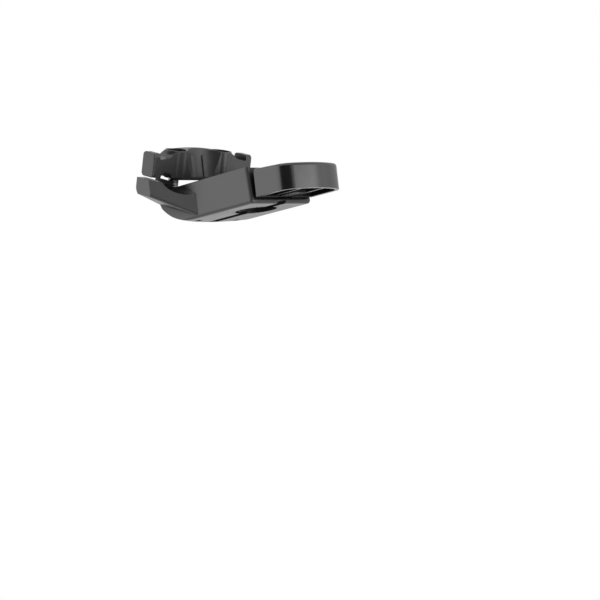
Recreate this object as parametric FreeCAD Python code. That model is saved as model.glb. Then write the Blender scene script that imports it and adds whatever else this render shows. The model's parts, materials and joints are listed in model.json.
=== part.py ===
import FreeCAD, Part
import math
import os

from FreeCAD import Vector

# Saddle bag mount, millimetres. X to the bike's right, Y forward, Z up.
# The origin is the centre of the socket, on the underside of the base body.

# Saddle rails that the mount is clamped on
rail_spacing = 44.0
rail_radius = 3.5
rail_pitch = 20.0
rail_relief = 1.2
clamp_forward = 42.5
clamp_height = 23.0
jaw_gap = 1.4

# Base body: square rear block and forward wings
block_width = 36.8
block_rear = 19.5
block_height = 17.4
block_edge = 1.6
rear_slant = 1.2
lip_height = 2.2
recess_width = 32.8
recess_depth = 3.2
knee_forward = 20.7
wing_width = 60.4
wing_tip_rear = -4.8
wing_tip_front = 7.4
wing_tip_depth = 8.6
wing_root_depth = 13.5
wing_edge = 1.6
chin_depth = 9.6
chin_edge = 4.0
tip_chin_depth = 6.4
wing_root = 4.0
keel_along = 1.1
keel_depth = 14.4

# Round bow of the underside
bow_centre = 8.0
bow_start = 24.0
bow_reach = 45.0
bow_rise = 10.0

# Inside of the block
floor = 2.6
wall = 3.4
rear_wall = 2.4
cavity_front = 19.0
lower_cavity_top = 8.6
cover_thickness = 2.0
cover_land = 1.9
cover_rear_land = 1.3
cover_front_land = 1.6
cover_fit = 0.1
pillar_radius = 2.8
pillar_inset = 2.6
pillar_tip_room = 0.5

# Socket and centre slot
socket_radius = 10.0
ring_wall = 1.2
ring_fit = 0.05
slot_width = 5.0
slot_depth = 1.4
slot_front = 33.0
pocket_offset = 11.6
pocket_width = 3.0
pocket_length = 4.0
pocket_middle = 29.6
pocket_depth = 2.2

# Upper clamp bar, along the rails and above their plane
bar_length = 9.4
bar_end_height = 12.6
bar_end_width = 3.6
bar_end_edge = 1.8
bar_end_rim = 0.6
bar_valley_height = 9.8
bar_valley_inset = 5.3
bar_neck_height = 10.6
bar_neck_inset = 1.2
bar_shoulder_height = 13.2
bar_shoulder_inset = 4.6
bar_middle_height = 14.6
bar_middle_drop = 0.2
bar_middle_inset = 2.5
scoop_width = 13.0
scoop_depth = 2.0
scoop_bottom = 1.4
bar_rib_offset = 4.2
bar_rib_width = 3.4
bar_rib_depth = 0.9
bar_rib_top = 12.4
boss_radius = 5.5
boss_height = 13.8

# Clamp bolts, washers and nuts
bolt_spacing = 27.4
bolt_radius = 2.5
bolt_clearance = 0.25
bolt_length = 20.6
bolt_head_radius = 4.2
bolt_head_height = 4.4
bolt_socket_across = 4.0
bolt_socket_depth = 2.6
bolt_edge = 0.4
washer_radius = 4.5
washer_thickness = 1.0
washer_seat = 6.6
nut_across = 8.0
nut_height = 3.2
nut_top = -8.8
nut_fit = 0.1
nut_bore_fit = 0.05

# Release handle and latch slide
latch_travel = 7.0
slide_clearance = 0.3
handle_gap = 1.2
handle_length = 27.0
handle_width = 34.8
handle_bottom = 2.5
handle_front_height = 13.4
handle_rear_height = 12.0
handle_corner = 8.0
handle_bow = 30.0
handle_edge = 1.4
handle_wall = 1.9
handle_roof = 2.0
handle_rib_offset = 6.2
handle_rib_wall = 1.3
handle_rib_lift = 0.6
handle_boss_length = 12.5
slide_thickness = 2.2
slide_inset = 4.0
slide_nose = 2.6
latch_radius = 8.4
latch_neck_radius = 5.2
tail_width = 7.0
screw_radius = 1.1
screw_fit = 0.05
screw_length = 7.0
screw_head_radius = 2.1
screw_head_height = 1.1
screw_pitch = 5.4
screw_front = 3.4
drive_across = 1.5
drive_depth = 0.7

# Return springs
spring_inset = 2.2
spring_height = 5.7
spring_radius = 1.55
spring_wire = 0.28
spring_turns = 6
ear_front = 1.0
ear_length = 2.6
ear_inset = 0.6
ear_top = 8.0
pin_radius = 1.0
pin_length = 4.9
pin_seat = 1.5
pin_fit = 0.02

# Holding magnet
magnet_radius = 6.0
magnet_height = 4.0
magnet_fit = 0.1
cup_wall = 1.5
cup_lip = 0.4

pitch = math.radians(rail_pitch)
half_block = block_width / 2
half_wing = wing_width / 2
half_length = bar_length / 2
half_rails = rail_spacing / 2
half_gap = jaw_gap / 2
half_bolts = bolt_spacing / 2
half_cavity = half_block - wall
spring_offset = half_cavity - spring_inset
recess_rear = block_rear - recess_depth
cavity_rear = recess_rear - rear_wall
cover_seat = block_height - cover_thickness
sides = {"left": -1, "right": 1}
up = Vector(0, 0, 1)


def clamp_point(along, above):
    """Forward and height of a point given along the rails and above their plane."""
    forward = clamp_forward + along * math.cos(pitch) - above * math.sin(pitch)
    height = clamp_height + along * math.sin(pitch) + above * math.cos(pitch)
    return forward, height


def to_rails(shape):
    """Turn a shape from the rails' own frame into the part's frame."""
    placed = shape.copy()
    placed.rotate(Vector(0, 0, 0), Vector(1, 0, 0), rail_pitch)
    placed.translate(Vector(0, clamp_forward, clamp_height))
    return placed


def box(x0, x1, y0, y1, z0, z1):
    return Part.makeBox(x1 - x0, y1 - y0, z1 - z0, Vector(x0, y0, z0))


def post(x, y, z0, z1, radius):
    return Part.makeCylinder(radius, z1 - z0, Vector(x, y, z0), up)


def polygon(points):
    return Part.Face(Part.makePolygon(points + points[:1]))


def side_prism(points, half_width):
    """Prism across X from an outline of (forward, height) points."""
    face = polygon([Vector(-half_width, y, z) for y, z in points])
    return face.extrude(Vector(2 * half_width, 0, 0))


def hexagon(across, height, x, y, z):
    corner = across / math.sqrt(3)
    angles = [math.radians(60 * i + 30) for i in range(6)]
    points = [Vector(x + corner * math.cos(a), y + corner * math.sin(a), z) for a in angles]
    return polygon(points).extrude(Vector(0, 0, height))


def edges_along(shape, direction, keep):
    """Straight edges of a shape that run along a direction and whose middle passes a test."""
    found = []
    for edge in shape.Edges:
        if edge.Curve.TypeId != "Part::GeomLine":
            continue
        run = edge.Vertexes[-1].Point - edge.Vertexes[0].Point
        if run.Length < 1e-6 or abs(run.normalize().dot(direction)) < 0.999:
            continue
        if keep(edge.CenterOfMass):
            found.append(edge)
    return found


def rings(shape, keep):
    """Round edges of a shape whose middle passes a test."""
    round_edges = [e for e in shape.Edges if e.Curve.TypeId == "Part::GeomCircle"]
    return [e for e in round_edges if keep(e.CenterOfMass)]


def rail_rod(side, radius, rear, front):
    """Rod on a rail's line, between two places along it."""
    start = Vector(side * half_rails, rear, 0)
    return to_rails(Part.makeCylinder(radius, front - rear, start, Vector(0, 1, 0)))


# Base body


def body_outline(half_width, front_depth):
    """Side view of the base body as a prism: flat underside, chin, wing tops and block top."""
    step = half_gap / math.cos(pitch)
    top_break = clamp_forward + (block_height - clamp_height + step) / math.tan(pitch)
    chin = clamp_point(wing_tip_front, -front_depth)
    keel = clamp_point(keel_along, -keel_depth)
    brow = clamp_point(wing_tip_front, -half_gap)
    corners = [(-block_rear, 0), (keel[0], 0), keel, chin, brow]
    corners += [(top_break, block_height), (rear_slant - block_rear, block_height)]
    solid = side_prism(corners, half_width)
    jaw = edges_along(solid, Vector(1, 0, 0), lambda p: abs(p.y - chin[0]) + abs(p.z - chin[1]) < 0.1)
    return solid.makeFillet(chin_edge, jaw)


def make_bow():
    """Hull of the underside, level under the block and sweeping up ahead as a round bow."""
    run = bow_reach - bow_start
    radius = (run * run + bow_rise * bow_rise) / (2 * bow_rise)
    half_turn = math.asin(run / radius) / 2
    middle = (bow_start + radius * math.sin(half_turn), radius - radius * math.cos(half_turn))
    top = clamp_height + block_height

    def at(reach, height):
        return Vector(reach, bow_centre, height)

    sweep = Part.Arc(at(bow_start, 0), at(*middle), at(bow_reach, bow_rise)).toShape()
    corners = [at(bow_reach, bow_rise), at(2 * bow_reach, top), at(0, top), at(0, 0), at(bow_start, 0)]
    runs = [Part.LineSegment(a, b).toShape() for a, b in zip(corners, corners[1:])]
    face = Part.Face(Part.Wire(runs + [sweep]))
    return face.revolve(Vector(0, bow_centre, 0), up, 360)


def make_wings():
    """Wings flaring out from the block, cut from three views of them."""
    rear_corner = clamp_point(wing_tip_rear, -wing_tip_depth)[0]
    front_reach = clamp_point(wing_tip_front, -chin_depth)[0] + 1
    flare = (rear_corner - knee_forward) / (half_wing - half_block)
    fall = (wing_root_depth - wing_tip_depth) / (half_wing - half_block)
    root = half_block - wing_root
    plan = [(root, knee_forward - flare * wing_root), (half_wing, rear_corner), (half_wing, front_reach)]
    outline = plan + [(-x, y) for x, y in reversed(plan)]
    plan_prism = polygon([Vector(x, y, -1) for x, y in outline])
    plan_prism = plan_prism.extrude(Vector(0, 0, clamp_height + block_height))
    root_depth = wing_root_depth + fall * wing_root
    section = [(half_wing, half_gap), (half_wing, -wing_tip_depth), (root, -root_depth)]
    section += [(-x, n) for x, n in reversed(section)]
    back = -2 * clamp_forward
    across = polygon([Vector(x, back, n) for x, n in section]).extrude(Vector(0, -2 * back, 0))
    wings = body_outline(half_wing, tip_chin_depth).common(plan_prism).common(to_rails(across))
    flanks = [e for e in wings.Edges if e.BoundBox.XLength > wing_root and e.CenterOfMass.y < clamp_forward]
    wings = wings.makeFillet(wing_edge, [e for e in flanks if 0.1 < e.CenterOfMass.z < lower_cavity_top])
    reliefs = [rail_rod(side, rail_radius + rail_relief, back, -half_length) for side in sides.values()]
    return wings.cut(reliefs)


def make_base_body():
    block = body_outline(half_block, chin_depth)
    lower = edges_along(block, Vector(0, 1, 0), lambda p: p.z < 0.1)
    slant = Vector(0, rear_slant, block_height).normalize()
    upright = edges_along(block, slant, lambda p: p.y < 0)
    lip = edges_along(block, Vector(1, 0, 0), lambda p: p.y < -block_rear + 0.1)
    block = block.makeFillet(block_edge, lower + upright + lip).common(make_bow())
    body = block.fuse(make_wings()).removeSplitter()
    return cut_bolt_seats(cut_inside(cut_underside(cut_top(body))))


def cut_top(body):
    """Grooves for the rails, the level trough between the wings and the recess at the rear."""
    reach = 2 * clamp_forward
    cuts = [rail_rod(side, rail_radius, -half_length, reach) for side in sides.values()]
    cuts.append(box(-half_block, half_block, cavity_front, reach, block_height, reach))
    half_recess = recess_width / 2
    cuts.append(box(-half_recess, half_recess, -block_rear - 1, -recess_rear, lip_height, block_height + 1))
    return body.cut(cuts)


def slot_shape():
    return box(-slot_width / 2, slot_width / 2, -block_rear - 1, slot_front, -1, slot_depth)


def cut_underside(body):
    """Socket, centre slot and the two small pockets ahead of it."""
    cuts = [post(0, 0, -1, floor + 1, socket_radius + ring_wall + ring_fit), slot_shape()]
    rear = pocket_middle - pocket_length / 2
    for side in sides.values():
        x = side * pocket_offset
        half = pocket_width / 2
        cuts.append(box(x - half, x + half, rear, rear + pocket_length, -1, pocket_depth))
    return body.cut(cuts)


def pillar_places():
    inset = half_cavity - pillar_inset
    rows = (-cavity_rear + pillar_inset, cavity_front - pillar_inset)
    return [(x, y) for x in (-inset, inset) for y in rows]


def cover_box(fit):
    half = half_block - cover_land - fit
    rear = -recess_rear + cover_rear_land + fit
    front = cavity_front + cover_front_land - fit
    return box(-half, half, rear, front, cover_seat, block_height)


def cut_inside(body):
    """Cavity for the latch slide, the cover's seat and the way out for the slide's tail."""
    cavity = box(-half_cavity, half_cavity, -cavity_rear, cavity_front, floor, cover_seat)
    for x, y in pillar_places():
        cavity = cavity.cut(post(x, y, lower_cavity_top, cover_seat, pillar_radius))
    half_tail = tail_width / 2 + slide_clearance
    tail_top = floor + slide_thickness + 2 * slide_clearance
    tail_way = box(-half_tail, half_tail, -recess_rear - 1, -cavity_rear + 1, floor, tail_top)
    tip = lower_cavity_top + pillar_tip_room
    holes = [post(x, y, tip, block_height, screw_radius + screw_fit) for x, y in pillar_places()]
    pins = [pin_shape(side, pin_radius + pin_fit) for side in sides.values()]
    return body.cut([cavity, cover_box(0), tail_way] + holes + pins)


def cut_bolt_seats(body):
    cuts = []
    for side in sides.values():
        x = side * half_bolts
        cuts.append(to_rails(post(x, 0, -clamp_height, 1, bolt_radius + bolt_clearance)))
        depth = clamp_height + nut_top
        cuts.append(to_rails(hexagon(nut_across + 2 * nut_fit, depth, x, 0, -clamp_height)))
    return body.cut(cuts)


def make_socket_ring():
    ring = post(0, 0, 0, floor, socket_radius + ring_wall)
    return ring.cut([post(0, 0, -1, floor + 1, socket_radius), slot_shape()])


# Top cover, its screws and the magnet


def make_top_cover():
    cover = cover_box(cover_fit)
    cup_radius = magnet_radius + magnet_fit
    cup = post(0, 0, cover_seat - magnet_height - cup_lip, cover_seat, cup_radius + cup_wall)
    cover = cover.fuse(cup.cut(post(0, 0, 0, cover_seat, cup_radius))).removeSplitter()
    head_seat = block_height - screw_head_height
    for x, y in pillar_places():
        cover = cover.cut(post(x, y, cover_seat - 1, block_height + 1, screw_radius + screw_fit))
        cover = cover.cut(post(x, y, head_seat, block_height + 1, screw_head_radius + screw_fit))
    return cover


def screw_shape(x, y, seat, direction, length):
    """Cap screw whose head stands from its seat against the direction that it is driven in."""
    axis = Vector(0, 0, direction)
    start = Vector(x, y, seat)
    shank = Part.makeCylinder(screw_radius, length, start, axis)
    head = Part.makeCylinder(screw_head_radius, screw_head_height, start, axis * -1)
    face = seat - direction * screw_head_height
    base = min(face, face + direction * drive_depth)
    drive = hexagon(drive_across, drive_depth, x, y, base)
    return shank.fuse(head).removeSplitter().cut(drive)


def make_cover_screws():
    seat = block_height - screw_head_height
    length = seat - lower_cavity_top - pillar_tip_room
    return Part.makeCompound([screw_shape(x, y, seat, -1, length) for x, y in pillar_places()])


def make_holding_magnet():
    return post(0, 0, cover_seat - magnet_height, cover_seat, magnet_radius)


# Upper clamp bar, in the rails' own frame


def bar_core():
    """Front view of the bar: a neck over each rail and an arched middle that hangs in the trough."""
    half_middle = half_block - bar_middle_inset
    inner_end = half_wing - bar_end_width / 2
    shoulder = half_rails - bar_shoulder_inset
    right = [
        (half_middle, -bar_middle_drop),
        (half_middle, half_gap),
        (inner_end, half_gap),
        (inner_end, bar_valley_height),
        (half_wing - bar_valley_inset, bar_valley_height),
        (half_rails - bar_neck_inset, bar_neck_height),
        (shoulder, bar_shoulder_height),
    ]

    def at(x, n):
        return Vector(x, -half_length, n)

    outline = [at(-x, n) for x, n in reversed(right)] + [at(x, n) for x, n in right]
    runs = [Part.LineSegment(a, b).toShape() for a, b in zip(outline, outline[1:])]
    arch = Part.Arc(outline[-1], at(0, bar_middle_height), outline[0]).toShape()
    core = Part.Face(Part.Wire(runs + [arch])).extrude(Vector(0, bar_length, 0))
    turns = edges_along(core, Vector(0, 1, 0), lambda p: abs(abs(p.x) - shoulder) < 0.1)
    return core.makeFillet(bar_end_edge, turns)


def bar_end(side):
    """End block with its long edges and its outer face rounded."""
    x0, x1 = sorted((side * half_wing, side * (half_wing - bar_end_width)))
    block = box(x0, x1, -half_length, half_length, half_gap, bar_end_height)
    block = block.makeFillet(bar_end_edge, edges_along(block, Vector(1, 0, 0), lambda p: True))
    outer = [e for e in block.Edges if abs(e.CenterOfMass.x - side * half_wing) < 0.01]
    return block.makeFillet(bar_end_rim, outer)


def rear_scoop():
    """Round scoop, upright when the bar is on the rails, out of its rear face, with two ribs left in it."""
    half_scoop = scoop_width / 2
    radius = (half_scoop * half_scoop + scoop_depth * scoop_depth) / (2 * scoop_depth)
    top = 2 * bar_middle_height
    scoop = post(0, scoop_depth - half_length - radius, scoop_bottom, top, radius)
    rib_rear = scoop_depth - half_length - bar_rib_depth
    for side in sides.values():
        x = side * bar_rib_offset - bar_rib_width / 2
        scoop = scoop.cut(box(x, x + bar_rib_width, rib_rear, half_length, scoop_bottom, bar_rib_top))
    scoop.rotate(Vector(0, -half_length, scoop_bottom), Vector(1, 0, 0), -rail_pitch)
    return scoop


def make_upper_clamp_bar():
    blocks = [bar_end(side) for side in sides.values()]
    bosses = [post(side * half_bolts, 0, half_gap, boss_height, boss_radius) for side in sides.values()]
    bar = bar_core().fuse(blocks + bosses).removeSplitter()
    top = 2 * bar_middle_height
    cuts = [rear_scoop()]
    for side in sides.values():
        x = side * half_bolts
        start = Vector(side * half_rails, -bar_length, 0)
        cuts.append(Part.makeCylinder(rail_radius, 2 * bar_length, start, Vector(0, 1, 0)))
        cuts.append(post(x, 0, -2 * bar_middle_drop, top, bolt_radius + bolt_clearance))
        cuts.append(post(x, 0, washer_seat, top, washer_radius + bolt_clearance))
    return to_rails(bar.cut(cuts))


# Clamp bolts, washers and nuts, in the rails' own frame


def make_clamp_bolt(side):
    x = side * half_bolts
    seat = washer_seat + washer_thickness
    shank = post(x, 0, seat - bolt_length, seat, bolt_radius)
    shank = shank.makeChamfer(bolt_edge, rings(shank, lambda p: p.z < seat - 1))
    head = post(x, 0, seat, seat + bolt_head_height, bolt_head_radius)
    head = head.makeChamfer(bolt_edge, rings(head, lambda p: p.z > seat + 1))
    drive_bottom = seat + bolt_head_height - bolt_socket_depth
    drive = hexagon(bolt_socket_across, bolt_socket_depth + 1, x, 0, drive_bottom)
    return to_rails(shank.fuse(head).removeSplitter().cut(drive))


def make_bolt_washer(side):
    x = side * half_bolts
    disc = post(x, 0, washer_seat, washer_seat + washer_thickness, washer_radius)
    hole = post(x, 0, washer_seat - 1, washer_seat + washer_thickness + 1, bolt_radius + nut_bore_fit)
    return to_rails(disc.cut(hole))


def make_captive_nut(side):
    x = side * half_bolts
    nut = hexagon(nut_across, nut_height, x, 0, nut_top - nut_height)
    bore = post(x, 0, nut_top - nut_height - 1, nut_top + 1, bolt_radius + nut_bore_fit)
    return to_rails(nut.cut(bore))


# Release handle, latch slide and return springs


slide_bottom = floor + slide_clearance
slide_top = slide_bottom + slide_thickness
slide_rear = cavity_rear - latch_travel - slide_clearance
handle_front = -block_rear - handle_gap
handle_rear = handle_front - handle_length
half_handle = handle_width / 2
boss_rear = handle_front - handle_boss_length
screw_places = [handle_front - screw_front - i * screw_pitch for i in range(2)]


def handle_plan(inset, bottom):
    """Plan of the handle: straight sides, round corners and a rear that bows out."""
    half = half_handle - inset
    front = handle_front - inset
    corner = handle_corner - inset
    bow = handle_bow - inset
    centre = handle_rear + handle_bow
    across = half - corner
    drop = math.sqrt((bow - corner) ** 2 - across ** 2)
    turn = math.atan2(drop, across) / 2
    scale = bow / (bow - corner)

    def at(x, y):
        return Vector(x, y, bottom)

    edges = [Part.LineSegment(at(-half, front), at(half, front)).toShape()]
    for side in sides.values():
        side_end = at(side * half, centre - drop)
        bend = at(side * (across + corner * math.cos(turn)), centre - drop - corner * math.sin(turn))
        join = at(side * across * scale, centre - drop * scale)
        edges.append(Part.LineSegment(at(side * half, front), side_end).toShape())
        edges.append(Part.Arc(side_end, bend, join).toShape())
    join_x = across * scale
    join_y = centre - drop * scale
    rear = Part.Arc(at(-join_x, join_y), at(0, centre - bow), at(join_x, join_y)).toShape()
    return Part.Face(Part.Wire(Part.__sortEdges__(edges + [rear])))


def handle_solid(inset, bottom, drop):
    """Prism of the handle's plan with a top that falls to the rear."""
    front_top = handle_bottom + handle_front_height - drop
    rear_top = handle_bottom + handle_rear_height - drop
    slope = (front_top - rear_top) / handle_length
    front = (handle_front + 1, front_top + slope)
    rear = (handle_rear - 1, rear_top - slope)
    side_view = [(front[0], bottom), front, rear, (rear[0], bottom)]
    prism = handle_plan(inset, bottom).extrude(Vector(0, 0, 2 * front_top))
    return prism.common(side_prism(side_view, handle_width))


def make_release_handle():
    shell = handle_solid(0, handle_bottom, 0)
    shell = shell.makeFillet(handle_edge, edges_along(shell, up, lambda p: p.y > handle_front - 0.1))
    rim = [e for e in shell.Edges if e.CenterOfMass.z > handle_bottom + handle_rear_height - 1]
    rim = [e for e in rim if abs(e.BoundBox.ZLength) < handle_front_height / 2]
    shell = shell.makeFillet(handle_edge, rim)
    hollow = handle_solid(handle_wall, handle_bottom - 1, handle_roof)
    top = 2 * handle_front_height
    rib_bottom = handle_bottom + handle_rib_lift
    ribs = [box(-handle_rib_offset, handle_rib_offset, boss_rear, handle_front, slide_top, top)]
    for side in sides.values():
        x = side * handle_rib_offset - handle_rib_wall / 2
        ribs.append(box(x, x + handle_rib_wall, handle_rear, handle_front, rib_bottom, top))
    hollow = hollow.cut(ribs)
    shell = shell.cut(hollow)
    half_tail = tail_width / 2 + slide_clearance
    shell = shell.cut(box(-half_tail, half_tail, boss_rear - 1, handle_front + 1, 0, slide_top))
    holes = [post(0, y, 0, slide_top + screw_length, screw_radius + screw_fit) for y in screw_places]
    return shell.cut(holes).removeSplitter()


def make_latch_slide():
    front = latch_travel + latch_radius + slide_nose
    half = half_cavity - slide_inset
    plate = box(-half, half, -slide_rear, front, slide_bottom, slide_top)
    corners = edges_along(plate, up, lambda p: p.y > 0)
    plate = plate.makeFillet(slide_nose, corners)
    plate = plate.fuse(box(-tail_width / 2, tail_width / 2, boss_rear, -slide_rear, slide_bottom, slide_top))
    for side in sides.values():
        x0, x1 = sorted((side * (half - slide_nose), side * (half_cavity - ear_inset)))
        plate = plate.fuse(box(x0, x1, ear_front - ear_length, ear_front, slide_bottom, ear_top))
    plate = plate.removeSplitter()
    keyhole = post(0, latch_travel, 0, block_height, latch_radius)
    neck = post(0, 0, 0, block_height, latch_neck_radius)
    throat = box(-latch_neck_radius, latch_neck_radius, 0, latch_travel, 0, block_height)
    plate = plate.cut([keyhole, neck, throat])
    for y in screw_places:
        plate = plate.cut(post(0, y, 0, block_height, screw_radius + screw_fit))
        plate = plate.cut(post(0, y, 0, slide_bottom + screw_head_height, screw_head_radius + screw_fit))
    return plate


def make_handle_screw(index):
    return screw_shape(0, screw_places[index], slide_bottom + screw_head_height, 1, screw_length)


def pin_shape(side, radius):
    start = Vector(side * spring_offset, -cavity_rear - pin_seat, spring_height)
    return Part.makeCylinder(radius, pin_length, start, Vector(0, 1, 0))


def make_return_spring(side):
    """Wire of six flats, wound between the block's rear wall and the slide's ear."""
    length = cavity_rear + ear_front - ear_length - 2 * spring_wire - slide_clearance
    helix = Part.makeHelix(length / spring_turns, length, spring_radius)
    angles = [math.radians(60 * i) for i in range(7)]
    flats = [Vector(spring_radius + spring_wire * math.cos(a), 0, spring_wire * math.sin(a)) for a in angles]
    coil = Part.Wire(helix).makePipeShell([Part.makePolygon(flats)], True, True)
    coil.rotate(Vector(0, 0, 0), Vector(1, 0, 0), -90)
    rear = -cavity_rear + spring_wire + slide_clearance / 2
    coil.translate(Vector(side * spring_offset, rear, spring_height))
    return coil


def build_parts():
    parts = {
        "base_body": make_base_body(),
        "socket_ring": make_socket_ring(),
        "top_cover": make_top_cover(),
        "cover_screws": make_cover_screws(),
        "holding_magnet": make_holding_magnet(),
        "upper_clamp_bar": make_upper_clamp_bar(),
        "release_handle": make_release_handle(),
        "latch_slide": make_latch_slide(),
        "handle_screw_front": make_handle_screw(0),
        "handle_screw_rear": make_handle_screw(1),
    }
    for name, side in sides.items():
        parts["clamp_bolt_" + name] = make_clamp_bolt(side)
        parts["bolt_washer_" + name] = make_bolt_washer(side)
        parts["captive_nut_" + name] = make_captive_nut(side)
        parts["spring_pin_" + name] = pin_shape(side, pin_radius)
        parts["return_spring_" + name] = make_return_spring(side)
    return parts


os.makedirs("parts", exist_ok=True)
for node, shape in build_parts().items():
    shape.exportStep("parts/" + node + ".step")
    print(node, len(shape.Solids), shape.isValid(), round(shape.Volume, 1))
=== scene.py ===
import bmesh
import bpy
import json
import math
from mathutils import Matrix, Vector

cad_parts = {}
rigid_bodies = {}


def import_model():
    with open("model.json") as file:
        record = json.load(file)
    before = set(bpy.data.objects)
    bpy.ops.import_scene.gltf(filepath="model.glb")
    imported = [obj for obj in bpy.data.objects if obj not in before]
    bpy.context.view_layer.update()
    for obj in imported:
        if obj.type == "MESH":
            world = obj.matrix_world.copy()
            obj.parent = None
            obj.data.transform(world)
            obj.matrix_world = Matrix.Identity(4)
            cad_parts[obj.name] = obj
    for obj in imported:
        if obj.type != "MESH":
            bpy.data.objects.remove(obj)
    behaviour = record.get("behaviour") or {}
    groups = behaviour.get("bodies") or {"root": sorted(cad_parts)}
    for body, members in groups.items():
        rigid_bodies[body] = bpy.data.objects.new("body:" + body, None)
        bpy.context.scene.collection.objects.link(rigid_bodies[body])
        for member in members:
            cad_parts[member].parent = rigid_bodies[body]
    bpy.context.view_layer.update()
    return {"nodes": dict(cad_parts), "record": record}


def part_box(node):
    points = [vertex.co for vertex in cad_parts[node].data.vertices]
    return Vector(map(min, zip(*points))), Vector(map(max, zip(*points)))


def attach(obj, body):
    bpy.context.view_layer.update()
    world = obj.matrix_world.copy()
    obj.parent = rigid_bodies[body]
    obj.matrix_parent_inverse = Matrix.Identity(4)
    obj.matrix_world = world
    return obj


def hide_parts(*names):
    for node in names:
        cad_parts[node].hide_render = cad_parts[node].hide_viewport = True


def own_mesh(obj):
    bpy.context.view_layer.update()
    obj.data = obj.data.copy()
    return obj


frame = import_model()
scene = bpy.context.scene
scene.view_settings.view_transform = "Standard"
print("frame loaded:", len(frame["nodes"]), "nodes")

# camera: placed so that the socket lands on its own pixel of the photo
view = {
    "azimuth": -41.14, "elevation": -5.07, "roll": -6.47,  # degrees
    "distance": 1.137,          # metres from the socket
    "imageSize": 600,           # pixels
    "focalPixels": 2400,        # long lens
    "socketPixel": (256.0, 210.2),
    "sensor": 36.0,             # millimetres
    "clipStart": 0.01,
}


def around(azimuth, elevation, distance):
    turn = math.radians(azimuth)
    lift = math.radians(elevation)
    level = math.cos(lift)
    return Vector((math.sin(turn) * level, -math.cos(turn) * level, math.sin(lift))) * distance


def placeCamera():
    roll = math.radians(view["roll"])
    back = around(view["azimuth"], view["elevation"], 1)
    level = (-back).cross(Vector((0, 0, 1))).normalized()
    upright = level.cross(-back)
    right = level * math.cos(roll) + upright * math.sin(roll)
    above = upright * math.cos(roll) - level * math.sin(roll)
    middle = view["imageSize"] / 2
    metresPerPixel = view["distance"] / view["focalPixels"]
    across = (view["socketPixel"][0] - middle) * metresPerPixel
    down = (view["socketPixel"][1] - middle) * metresPerPixel
    place = back * view["distance"] - right * across + above * down
    lens = bpy.data.cameras.new("photoLens")
    lens.sensor_width = view["sensor"]
    lens.lens = view["focalPixels"] / view["imageSize"] * view["sensor"]
    lens.clip_start = view["clipStart"]
    camera = bpy.data.objects.new("photoCamera", lens)
    scene.collection.objects.link(camera)
    rows = [(right[i], above[i], back[i], place[i]) for i in range(3)]
    camera.matrix_world = Matrix(rows + [(0, 0, 0, 1)])
    scene.camera = camera


placeCamera()
print("camera placed")

# studio: pale floor, white surround, soft boxes around and a dark flag on the camera's side
studio = {
    "floorDrop": 1.4, "floorSize": 24.0, "floorPaint": (0.85, 0.85, 0.85),
    "surround": (1.0, 1.0, 1.0), "fill": 0.40,
    "boxes": {
        "softBoxSide": {"azimuth": -131, "elevation": 14, "distance": 0.75, "size": 0.62, "watts": 1.05},
        "softBoxRear": {"azimuth": 11, "elevation": -13, "distance": 0.75, "size": 0.62, "watts": 3.7},
        "softBoxFar": {"azimuth": 40, "elevation": 8, "distance": 0.75, "size": 0.50, "watts": 0.35},
        "softBoxTop": {"azimuth": -70, "elevation": 72, "distance": 0.80, "size": 0.80, "watts": 1.2},
        "softBoxWing": {"azimuth": -78, "elevation": 8, "distance": 0.75, "size": 0.40, "watts": 0.7,
                        "only": ["base_body"]},
    },
    "flag": {"azimuth": -64, "elevation": 0, "distance": 0.9, "width": 1.4, "height": 0.9,
             "cloth": (0.004, 0.004, 0.004), "rough": 0.9},
}


def whiteToCamera(tree, seen, otherwise, output):
    path = tree.nodes.new("ShaderNodeLightPath")
    share = path.outputs["Is Camera Ray"]
    for ray in ("Is Glossy Ray", "Is Transmission Ray"):
        either = tree.nodes.new("ShaderNodeMath")
        either.operation = "MAXIMUM"
        tree.links.new(share, either.inputs[0])
        tree.links.new(path.outputs[ray], either.inputs[1])
        share = either.outputs[0]
    mix = tree.nodes.new("ShaderNodeMixShader")
    tree.links.new(share, mix.inputs[0])
    tree.links.new(otherwise, mix.inputs[1])
    tree.links.new(seen, mix.inputs[2])
    tree.links.new(mix.outputs[0], output)


def makeSurround():
    world = bpy.data.worlds.new("paleSurround")
    scene.world = world
    world.use_nodes = True
    tree = world.node_tree
    tree.nodes.clear()
    output = tree.nodes.new("ShaderNodeOutputWorld")
    white = tree.nodes.new("ShaderNodeBackground")
    white.inputs["Color"].default_value = (*studio["surround"], 1)
    white.inputs["Strength"].default_value = 1.0
    fill = tree.nodes.new("ShaderNodeBackground")
    fill.inputs["Color"].default_value = (*studio["surround"], 1)
    fill.inputs["Strength"].default_value = studio["fill"]
    whiteToCamera(tree, white.outputs[0], fill.outputs[0], output.inputs["Surface"])


def makeFloor():
    bpy.ops.mesh.primitive_plane_add(size=studio["floorSize"], location=(0, 0, -studio["floorDrop"]))
    floor = bpy.context.object
    floor.name = "paleFloor"
    paint = bpy.data.materials.new("paleFloorPaint")
    paint.use_nodes = True
    tree = paint.node_tree
    tree.nodes.clear()
    output = tree.nodes.new("ShaderNodeOutputMaterial")
    glow = tree.nodes.new("ShaderNodeEmission")
    glow.inputs["Color"].default_value = (*studio["surround"], 1)
    glow.inputs["Strength"].default_value = 1.0
    matte = tree.nodes.new("ShaderNodeBsdfDiffuse")
    matte.inputs["Color"].default_value = (*studio["floorPaint"], 1)
    whiteToCamera(tree, glow.outputs[0], matte.outputs[0], output.inputs["Surface"])
    floor.data.materials.append(paint)


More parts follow.
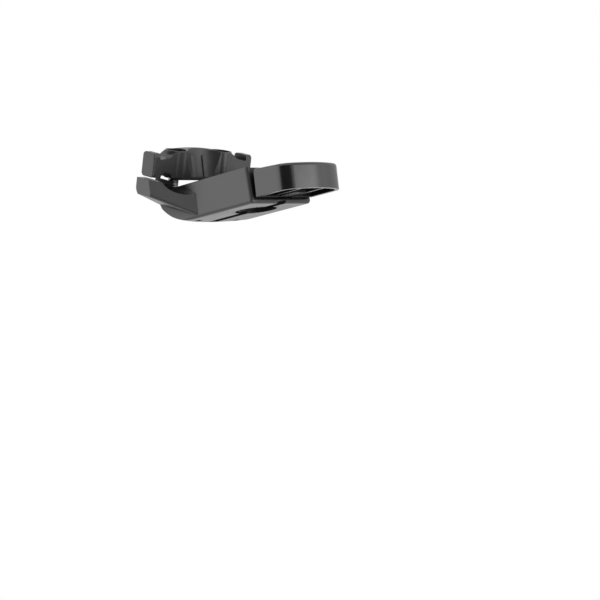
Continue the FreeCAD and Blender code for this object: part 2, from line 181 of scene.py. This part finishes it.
def makeLights():
    for name, box in studio["boxes"].items():
        lamp = bpy.data.lights.new(name, "AREA")
        lamp.shape = "SQUARE"
        lamp.size = box["size"]
        lamp.energy = box["watts"]
        light = bpy.data.objects.new(name, lamp)
        light.location = around(box["azimuth"], box["elevation"], box["distance"])
        light.rotation_euler = light.location.to_track_quat("Z", "Y").to_euler()
        light.visible_camera = False
        scene.collection.objects.link(light)
        if "only" in box:
            lit = bpy.data.collections.new(name + "Lit")
            for node in box["only"]:
                lit.objects.link(frame["nodes"][node])
            light.light_linking.receiver_collection = lit


def makeFlag():
    flag = studio["flag"]
    bpy.ops.mesh.primitive_plane_add(size=1.0)
    card = bpy.context.object
    card.name = "darkFlag"
    card.scale = (flag["width"], flag["height"], 1)
    card.location = around(flag["azimuth"], flag["elevation"], flag["distance"])
    card.rotation_euler = card.location.to_track_quat("Z", "Y").to_euler()
    card.visible_camera = False
    card.visible_diffuse = False
    card.visible_shadow = False
    cloth = bpy.data.materials.new("darkFlagCloth")
    cloth.use_nodes = True
    shader = cloth.node_tree.nodes["Principled BSDF"]
    shader.inputs["Base Color"].default_value = (*flag["cloth"], 1)
    shader.inputs["Roughness"].default_value = flag["rough"]
    card.data.materials.append(cloth)


makeSurround()
makeFloor()
makeLights()
makeFlag()
print("studio lit")

# finishes: one entry for each, sizes in metres
# gloss is the sheen on open faces; open is the ambient occlusion level below which that sheen is cut back
# as painted shade
plastics = {
    "body_plastic": {"colour": (0.016, 0.016, 0.0165), "rough": 0.30, "grain": 0.00022, "bump": 0.10,
                     "gloss": 0.64, "open": 0.94},
    "bar_plastic": {"colour": (0.034, 0.034, 0.035), "rough": 0.36, "grain": 0.00022, "bump": 0.10,
                    "gloss": 0.50, "open": 0.88},
    "handle_plastic": {"colour": (0.014, 0.014, 0.0145), "rough": 0.22, "grain": 0.00030, "bump": 0.06,
                       "gloss": 0.64, "open": 0.98},
    "cover_plastic": {"colour": (0.019, 0.019, 0.020), "rough": 0.48, "grain": 0.00018, "bump": 0.16,
                      "gloss": 0.45, "open": 0.88},
    "ring_plastic": {"colour": (0.014, 0.014, 0.015), "rough": 0.32, "grain": 0.00030, "bump": 0.05,
                     "gloss": 0.45, "open": 0.88},
    "slide_plastic": {"colour": (0.016, 0.016, 0.017), "rough": 0.62, "grain": 0.00030, "bump": 0.05,
                      "gloss": 0.14, "open": 0.95},
}
metals = {
    "bright_steel": {"colour": (0.46, 0.46, 0.47), "rough": 0.32, "streak": 0.0004, "spread": 0.12},
    "dark_steel": {"colour": (0.055, 0.055, 0.058), "rough": 0.38, "streak": 0.0004, "spread": 0.20},
    "spring_steel": {"colour": (0.46, 0.46, 0.47), "rough": 0.26, "streak": 0.0003, "spread": 0.15},
    "magnet_plating": {"colour": (0.62, 0.61, 0.58), "rough": 0.22, "streak": 0.0025, "spread": 0.05},
}
# what all plastics and all metals share: noise detail, and how far tone and roughness vary
moulding = {
    "flow": 0.018, "flowDetail": 3, "grainDetail": 2,
    "tone": (0.86, 1.16), "rough": (-0.03, 0.04), "ior": 1.52,
}
working = {"stretch": (1, 1, 6), "detail": 3, "rough": (-0.05, 0.06), "bump": 0.08}
noiseSpan = {"low": 0.3, "high": 0.7, "lightest": 0.72}
edges = {"round": 0.00045, "samples": 6}
# painted shade: ambient occlusion turns the sheen down in corners and hollows, so they render darker than
# open faces
hollowShade = {"reach": 0.016, "closed": 0.42, "gloss": 0.03, "samples": 8}


def addNoise(tree, coordinates, size, detail):
    noise = tree.nodes.new("ShaderNodeTexNoise")
    noise.inputs["Scale"].default_value = 1 / size
    noise.inputs["Detail"].default_value = detail
    tree.links.new(coordinates, noise.inputs["Vector"])
    return noise.outputs["Fac"]


def addRange(tree, value, low, high, start=noiseSpan["low"], stop=noiseSpan["high"]):
    spread = tree.nodes.new("ShaderNodeMapRange")
    spread.inputs["From Min"].default_value = start
    spread.inputs["From Max"].default_value = stop
    spread.inputs["To Min"].default_value = low
    spread.inputs["To Max"].default_value = high
    tree.links.new(value, spread.inputs["Value"])
    return spread.outputs["Result"]


def tint(colour, share):
    return (*[min(1.0, c * share) for c in colour], 1)


def addRamp(tree, value, dark, light):
    ramp = tree.nodes.new("ShaderNodeValToRGB")
    ramp.color_ramp.elements[0].position = noiseSpan["low"]
    ramp.color_ramp.elements[0].color = dark
    ramp.color_ramp.elements[1].position = noiseSpan["lightest"]
    ramp.color_ramp.elements[1].color = light
    tree.links.new(value, ramp.inputs["Fac"])
    return ramp.outputs["Color"]


def startMaterial(name):
    material = bpy.data.materials.new(name)
    material.use_nodes = True
    tree = material.node_tree
    shader = tree.nodes["Principled BSDF"]
    place = tree.nodes.new("ShaderNodeTexCoord").outputs["Object"]
    return material, tree, shader, place


def roundEdges(tree, height, strength, size, shader):
    edge = tree.nodes.new("ShaderNodeBevel")
    edge.samples = edges["samples"]
    edge.inputs["Radius"].default_value = edges["round"]
    bump = tree.nodes.new("ShaderNodeBump")
    bump.inputs["Strength"].default_value = strength
    bump.inputs["Distance"].default_value = size
    tree.links.new(height, bump.inputs["Height"])
    tree.links.new(edge.outputs["Normal"], bump.inputs["Normal"])
    tree.links.new(bump.outputs["Normal"], shader.inputs["Normal"])


# painted shade: specular level runs from the finish's gloss where occlusion is at open or above, down to
# a low gloss where it is at closed or below
def shadeHollows(tree, finish, shader):
    shelter = tree.nodes.new("ShaderNodeAmbientOcclusion")
    shelter.samples = hollowShade["samples"]
    shelter.inputs["Distance"].default_value = hollowShade["reach"]
    gloss = addRange(tree, shelter.outputs["AO"], hollowShade["gloss"], finish["gloss"],
                     hollowShade["closed"], finish["open"])
    shader.inputs["Specular IOR Level"].default_value = finish["gloss"]
    tree.links.new(gloss, shader.inputs["Specular IOR Level"])


def mouldedPlastic(name, finish):
    material, tree, shader, place = startMaterial(name)
    flow = addNoise(tree, place, moulding["flow"], moulding["flowDetail"])
    grain = addNoise(tree, place, finish["grain"], moulding["grainDetail"])
    dark, light = [tint(finish["colour"], share) for share in moulding["tone"]]
    smooth, rough = [finish["rough"] + change for change in moulding["rough"]]
    tree.links.new(addRamp(tree, flow, dark, light), shader.inputs["Base Color"])
    tree.links.new(addRange(tree, flow, smooth, rough), shader.inputs["Roughness"])
    shader.inputs["IOR"].default_value = moulding["ior"]
    shadeHollows(tree, finish, shader)
    roundEdges(tree, grain, finish["bump"], finish["grain"], shader)
    return material


def workedMetal(name, finish):
    material, tree, shader, place = startMaterial(name)
    stretch = tree.nodes.new("ShaderNodeMapping")
    stretch.inputs["Scale"].default_value = working["stretch"]
    tree.links.new(place, stretch.inputs["Vector"])
    streak = addNoise(tree, stretch.outputs["Vector"], finish["streak"], working["detail"])
    dark, light = [tint(finish["colour"], 1 + change) for change in (-finish["spread"], finish["spread"])]
    smooth, rough = [finish["rough"] + change for change in working["rough"]]
    tree.links.new(addRamp(tree, streak, dark, light), shader.inputs["Base Color"])
    tree.links.new(addRange(tree, streak, smooth, rough), shader.inputs["Roughness"])
    shader.inputs["Metallic"].default_value = 1.0
    roundEdges(tree, streak, working["bump"], finish["streak"] * finish["spread"], shader)
    return material


def dressNodes():
    finishes = {name: mouldedPlastic(name + "_finish", finish) for name, finish in plastics.items()}
    finishes.update({name: workedMetal(name + "_finish", finish) for name, finish in metals.items()})
    slotOf = {row["node"]: row["material_slot"] for row in frame["record"]["subparts"]}
    for name, node in frame["nodes"].items():
        node.data.materials.clear()
        node.data.materials.append(finishes[slotOf[name]])
    return finishes


finishes = dressNodes()
print("finishes set")


# a section is spun round an axis in stretches, each with its turns and its rise for a turn
def windSection(mesh, centre, axis, sides, stretches):
    section = mesh.verts[:] + mesh.edges[:]
    for turns, rise in stretches:
        spun = bmesh.ops.spin(mesh, geom=section, cent=centre, axis=axis, steps=turns * sides,
                              angle=2 * math.pi * turns, dvec=axis * rise / sides)
        section = spun["geom_last"]
    bmesh.ops.holes_fill(mesh, edges=[e for e in mesh.edges if e.is_boundary])
    bmesh.ops.recalc_face_normals(mesh, faces=mesh.faces)


def addPiece(name, mesh, body, slot):
    for face in mesh.faces:
        face.smooth = len(face.verts) == 4
    data = bpy.data.meshes.new(name)
    mesh.to_mesh(data)
    mesh.free()
    data.materials.append(finishes[slot])
    piece = bpy.data.objects.new(name, data)
    scene.collection.objects.link(piece)
    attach(piece, body)
    return piece


# thread ridge round the bare part of each clamp bolt, along the bolt's own axis
thread = {
    "root": 0.00245, "crest": 0.0027, "pitch": 0.0008, "start": -0.0086, "turns": 11, "sides": 28,
    "outline": [("root", 0.02), ("crest", 0.42), ("crest", 0.58), ("root", 0.98)],  # share of the pitch
}


def makeThread(bolt):
    centre = Vector(bolt["pos_m"])
    axis = Vector(bolt["axis"])
    out = axis.orthogonal().normalized()
    mesh = bmesh.new()
    outline = []
    for ring, share in thread["outline"]:
        along = thread["start"] + thread["pitch"] * share
        outline.append(mesh.verts.new(centre + out * thread[ring] + axis * along))
    for a, b in zip(outline, outline[1:] + outline[:1]):
        mesh.edges.new((a, b))
    windSection(mesh, centre, axis, thread["sides"], [(thread["turns"], thread["pitch"])])
    for edge in mesh.edges:
        edge.smooth = False
    addPiece(bolt["child"] + "_thread", mesh, bolt["child"], "bright_steel")


# return springs: round wire with a closed turn at each end; the real springs are pressed together as the
# handle is pulled, but each coil here is wound once at full length and fixed to the joint's parent body
spring = {"wire": 0.00028, "wireSides": 10, "sides": 26, "openTurns": 5, "closedRise": 0.00058}


def makeSpring(pull, row):
    low, high = [Vector(corner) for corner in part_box(row["node"])]
    axis = Vector((0, 1, 0))
    centre = (low + high) / 2
    radius = (high.x - low.x) / 2 - spring["wire"]
    length = high.y - low.y - 2 * spring["wire"]
    mesh = bmesh.new()
    section = Matrix.Translation((centre.x + radius, low.y + spring["wire"], centre.z))
    bmesh.ops.create_circle(mesh, segments=spring["wireSides"], radius=spring["wire"], matrix=section)
    openRise = (length - 2 * spring["closedRise"]) / spring["openTurns"]
    closed = (1, spring["closedRise"])
    windSection(mesh, centre, axis, spring["sides"], [closed, (spring["openTurns"], openRise), closed])
    coil = addPiece(row["node"] + "_coil", mesh, pull["parent"], "spring_steel")
    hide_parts(row["node"])
    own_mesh(coil)


for joint in frame["record"]["behaviour"]["joints"]:
    if joint["child"].startswith("bolt_"):
        makeThread(joint)
    for row in joint.get("deforming_nodes", []):
        makeSpring(joint, row)
print("threads and springs wound")
